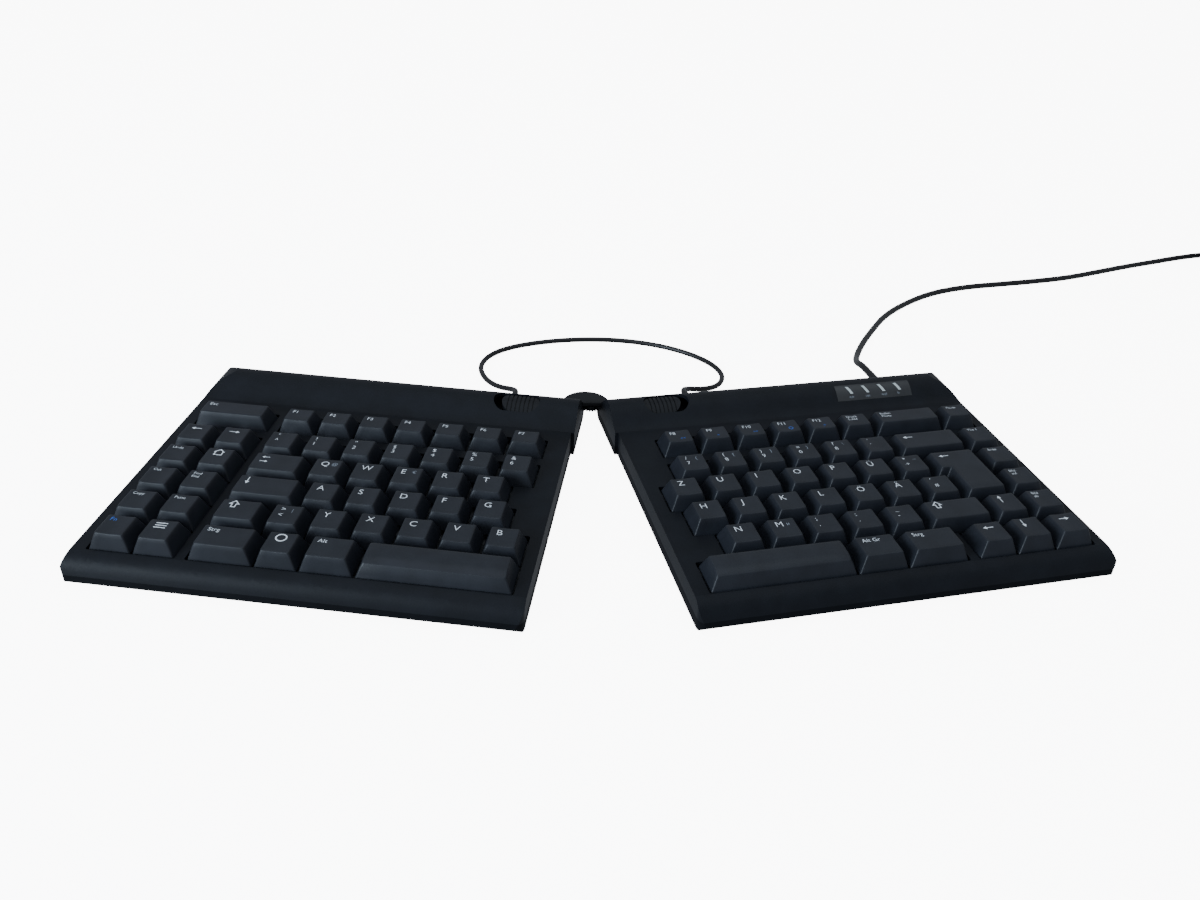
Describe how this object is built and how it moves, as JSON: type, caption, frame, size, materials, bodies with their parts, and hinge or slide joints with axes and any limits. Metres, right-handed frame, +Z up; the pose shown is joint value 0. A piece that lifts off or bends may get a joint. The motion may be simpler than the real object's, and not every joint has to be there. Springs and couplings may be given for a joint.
{
  "type": "ergonomic split keyboard",
  "caption": "Split keyboard: two sloped modules on a splay hinge with release sliders, keys that travel, a link cable and a USB cord.",
  "frame": {"origin": "middle of the keyboard's box on the desk, cords left out, as set down at 20 degrees of splay", "axes": "+X to the user's right, +Y to the rear, +Z up"},
  "size_m": [0.7667, 0.4248, 0.0227],
  "materials": {
    "case_top": "fine satin moulded texture, black",
    "case_bottom": "moulded black",
    "keycap": "satin black with white lettering",
    "slider": "ribbed black",
    "guide_plate": "moulded dark grey",
    "dome_rubber": "translucent white silicone",
    "membrane_film": "clear film with printed tracks",
    "steel": "zinc plated",
    "foot_rubber": "matte black",
    "tether_plastic": "satin black",
    "circuit_board": "green solder mask",
    "light_guide": "clear",
    "window": "smoked gloss",
    "plug_body": "satin black",
    "plug_shell": "nickel plated",
    "tie": "black strap",
    "cord_jacket": "satin black jacket"
  },
  "bodies": {
    "left_module": {"top_case_left": "case_top", "bottom_case_left": "case_bottom", "key_plate_left": "guide_plate", "dome_sheet_left": "dome_rubber", "membrane_left": "membrane_film", "case_screws_left": "steel", "feet_left": "foot_rubber", "tether_arm_left": "tether_plastic", "link_cable_gland_left": "cord_jacket", "tether_cap": "tether_plastic", "tether_pin": "steel", "link_cable": "cord_jacket"},
    "right_module": {"top_case_right": "case_top", "bottom_case_right": "case_bottom", "key_plate_right": "guide_plate", "dome_sheet_right": "dome_rubber", "membrane_right": "membrane_film", "case_screws_right": "steel", "feet_right": "foot_rubber", "tether_arm_right": "tether_plastic", "link_cable_gland_right": "cord_jacket", "controller_board": "circuit_board", "indicator_lights": "light_guide", "indicator_window": "window", "usb_strain_relief": "cord_jacket", "usb_cord": "cord_jacket", "usb_cord_coil": "cord_jacket", "coil_tie": "tie", "usb_plug": "plug_body", "usb_plug_shell": "plug_shell"},
    "hot_keys": {"hot_keys": "keycap"},
    "esc_key": {"esc_key": "keycap"},
    "function_keys_left": {"function_keys_left": "keycap"},
    "number_keys_left": {"number_keys_left": "keycap"},
    "tab_key": {"tab_key": "keycap"},
    "top_letter_keys_left": {"top_letter_keys_left": "keycap"},
    "caps_lock_key": {"caps_lock_key": "keycap"},
    "home_letter_keys_left": {"home_letter_keys_left": "keycap"},
    "shift_key_left": {"shift_key_left": "keycap"},
    "bottom_letter_keys_left": {"bottom_letter_keys_left": "keycap"},
    "control_key_left": {"control_key_left": "keycap"},
    "menu_key": {"menu_key": "keycap"},
    "alt_key": {"alt_key": "keycap"},
    "space_key_left": {"space_key_left": "keycap"},
    "release_slider_left": {"release_slider_left": "slider"},
    "function_keys_right": {"function_keys_right": "keycap"},
    "wide_top_key": {"wide_top_key": "keycap"},
    "navigation_keys": {"navigation_keys": "keycap"},
    "number_keys_right": {"number_keys_right": "keycap"},
    "backspace_key": {"backspace_key": "keycap"},
    "top_letter_keys_right": {"top_letter_keys_right": "keycap"},
    "enter_key": {"enter_key": "keycap"},
    "home_letter_keys_right": {"home_letter_keys_right": "keycap"},
    "bottom_letter_keys_right": {"bottom_letter_keys_right": "keycap"},
    "shift_key_right": {"shift_key_right": "keycap"},
    "arrow_keys": {"arrow_keys": "keycap"},
    "alt_graph_key": {"alt_graph_key": "keycap"},
    "control_key_right": {"control_key_right": "keycap"},
    "space_key_right": {"space_key_right": "keycap"},
    "release_slider_right": {"release_slider_right": "slider"}
  },
  "joints": [
    {"name": "splay", "type": "hinge", "parent": "left_module", "child": "right_module", "pos_m": [0, 0.06735, 0.0092], "axis": [0, 0, 1], "range_deg": [-20, 10], "deforming": ["link_cable"]},
    {"name": "hot_keys_press", "type": "slide", "parent": "left_module", "child": "hot_keys", "axis": [0, 0, -1], "range_m": [0, 0.0035], "stiffness_N_per_m": 1200, "springref_m": -0.002, "deforming": ["dome_sheet_left"]},
    {"name": "esc_key_press", "type": "slide", "parent": "left_module", "child": "esc_key", "axis": [0, 0, -1], "range_m": [0, 0.0035], "stiffness_N_per_m": 120, "springref_m": -0.002, "deforming": ["dome_sheet_left"]},
    {"name": "function_keys_left_press", "type": "slide", "parent": "left_module", "child": "function_keys_left", "axis": [0, 0, -1], "range_m": [0, 0.0035], "stiffness_N_per_m": 840, "springref_m": -0.002, "deforming": ["dome_sheet_left"]},
    {"name": "number_keys_left_press", "type": "slide", "parent": "left_module", "child": "number_keys_left", "axis": [0, 0, -1], "range_m": [0, 0.0035], "stiffness_N_per_m": 840, "springref_m": -0.002, "deforming": ["dome_sheet_left"]},
    {"name": "tab_key_press", "type": "slide", "parent": "left_module", "child": "tab_key", "axis": [0, 0, -1], "range_m": [0, 0.0035], "stiffness_N_per_m": 120, "springref_m": -0.002, "deforming": ["dome_sheet_left"]},
    {"name": "top_letter_keys_left_press", "type": "slide", "parent": "left_module", "child": "top_letter_keys_left", "axis": [0, 0, -1], "range_m": [0, 0.0035], "stiffness_N_per_m": 600, "springref_m": -0.002, "deforming": ["dome_sheet_left"]},
    {"name": "caps_lock_key_press", "type": "slide", "parent": "left_module", "child": "caps_lock_key", "axis": [0, 0, -1], "range_m": [0, 0.0035], "stiffness_N_per_m": 120, "springref_m": -0.002, "deforming": ["dome_sheet_left"]},
    {"name": "home_letter_keys_left_press", "type": "slide", "parent": "left_module", "child": "home_letter_keys_left", "axis": [0, 0, -1], "range_m": [0, 0.0035], "stiffness_N_per_m": 600, "springref_m": -0.002, "deforming": ["dome_sheet_left"]},
    {"name": "shift_key_left_press", "type": "slide", "parent": "left_module", "child": "shift_key_left", "axis": [0, 0, -1], "range_m": [0, 0.0035], "stiffness_N_per_m": 120, "springref_m": -0.002, "deforming": ["dome_sheet_left"]},
    {"name": "bottom_letter_keys_left_press", "type": "slide", "parent": "left_module", "child": "bottom_letter_keys_left", "axis": [0, 0, -1], "range_m": [0, 0.0035], "stiffness_N_per_m": 720, "springref_m": -0.002, "deforming": ["dome_sheet_left"]},
    {"name": "control_key_left_press", "type": "slide", "parent": "left_module", "child": "control_key_left", "axis": [0, 0, -1], "range_m": [0, 0.0035], "stiffness_N_per_m": 120, "springref_m": -0.002, "deforming": ["dome_sheet_left"]},
    {"name": "menu_key_press", "type": "slide", "parent": "left_module", "child": "menu_key", "axis": [0, 0, -1], "range_m": [0, 0.0035], "stiffness_N_per_m": 120, "springref_m": -0.002, "deforming": ["dome_sheet_left"]},
    {"name": "alt_key_press", "type": "slide", "parent": "left_module", "child": "alt_key", "axis": [0, 0, -1], "range_m": [0, 0.0035], "stiffness_N_per_m": 120, "springref_m": -0.002, "deforming": ["dome_sheet_left"]},
    {"name": "space_key_left_press", "type": "slide", "parent": "left_module", "child": "space_key_left", "axis": [0, 0, -1], "range_m": [0, 0.0035], "stiffness_N_per_m": 120, "springref_m": -0.002, "deforming": ["dome_sheet_left"]},
    {"name": "release_slider_left_slide", "type": "slide", "parent": "left_module", "child": "release_slider_left", "axis": [-0.9848, 0.1736, 0], "range_m": [0, 0.004], "stiffness_N_per_m": 200, "springref_m": -0.002},
    {"name": "function_keys_right_press", "type": "slide", "parent": "right_module", "child": "function_keys_right", "axis": [0, 0, -1], "range_m": [0, 0.0035], "stiffness_N_per_m": 720, "springref_m": -0.002, "deforming": ["dome_sheet_right"]},
    {"name": "wide_top_key_press", "type": "slide", "parent": "right_module", "child": "wide_top_key", "axis": [0, 0, -1], "range_m": [0, 0.0035], "stiffness_N_per_m": 120, "springref_m": -0.002, "deforming": ["dome_sheet_right"]},
    {"name": "navigation_keys_press", "type": "slide", "parent": "right_module", "child": "navigation_keys", "axis": [0, 0, -1], "range_m": [0, 0.0035], "stiffness_N_per_m": 600, "springref_m": -0.002, "deforming": ["dome_sheet_right"]},
    {"name": "number_keys_right_press", "type": "slide", "parent": "right_module", "child": "number_keys_right", "axis": [0, 0, -1], "range_m": [0, 0.0035], "stiffness_N_per_m": 720, "springref_m": -0.002, "deforming": ["dome_sheet_right"]},
    {"name": "backspace_key_press", "type": "slide", "parent": "right_module", "child": "backspace_key", "axis": [0, 0, -1], "range_m": [0, 0.0035], "stiffness_N_per_m": 120, "springref_m": -0.002, "deforming": ["dome_sheet_right"]},
    {"name": "top_letter_keys_right_press", "type": "slide", "parent": "right_module", "child": "top_letter_keys_right", "axis": [0, 0, -1], "range_m": [0, 0.0035], "stiffness_N_per_m": 840, "springref_m": -0.002, "deforming": ["dome_sheet_right"]},
    {"name": "enter_key_press", "type": "slide", "parent": "right_module", "child": "enter_key", "axis": [0, 0, -1], "range_m": [0, 0.0035], "stiffness_N_per_m": 120, "springref_m": -0.002, "deforming": ["dome_sheet_right"]},
    {"name": "home_letter_keys_right_press", "type": "slide", "parent": "right_module", "child": "home_letter_keys_right", "axis": [0, 0, -1], "range_m": [0, 0.0035], "stiffness_N_per_m": 840, "springref_m": -0.002, "deforming": ["dome_sheet_right"]},
    {"name": "bottom_letter_keys_right_press", "type": "slide", "parent": "right_module", "child": "bottom_letter_keys_right", "axis": [0, 0, -1], "range_m": [0, 0.0035], "stiffness_N_per_m": 600, "springref_m": -0.002, "deforming": ["dome_sheet_right"]},
    {"name": "shift_key_right_press", "type": "slide", "parent": "right_module", "child": "shift_key_right", "axis": [0, 0, -1], "range_m": [0, 0.0035], "stiffness_N_per_m": 120, "springref_m": -0.002, "deforming": ["dome_sheet_right"]},
    {"name": "arrow_keys_press", "type": "slide", "parent": "right_module", "child": "arrow_keys", "axis": [0, 0, -1], "range_m": [0, 0.0035], "stiffness_N_per_m": 480, "springref_m": -0.002, "deforming": ["dome_sheet_right"]},
    {"name": "alt_graph_key_press", "type": "slide", "parent": "right_module", "child": "alt_graph_key", "axis": [0, 0, -1], "range_m": [0, 0.0035], "stiffness_N_per_m": 120, "springref_m": -0.002, "deforming": ["dome_sheet_right"]},
    {"name": "control_key_right_press", "type": "slide", "parent": "right_module", "child": "control_key_right", "axis": [0, 0, -1], "range_m": [0, 0.0035], "stiffness_N_per_m": 120, "springref_m": -0.002, "deforming": ["dome_sheet_right"]},
    {"name": "space_key_right_press", "type": "slide", "parent": "right_module", "child": "space_key_right", "axis": [0, 0, -1], "range_m": [0, 0.0035], "stiffness_N_per_m": 120, "springref_m": -0.002, "deforming": ["dome_sheet_right"]},
    {"name": "release_slider_right_slide", "type": "slide", "parent": "right_module", "child": "release_slider_right", "axis": [0.9848, 0.1736, 0], "range_m": [0, 0.004], "stiffness_N_per_m": 200, "springref_m": -0.002}
  ]
}
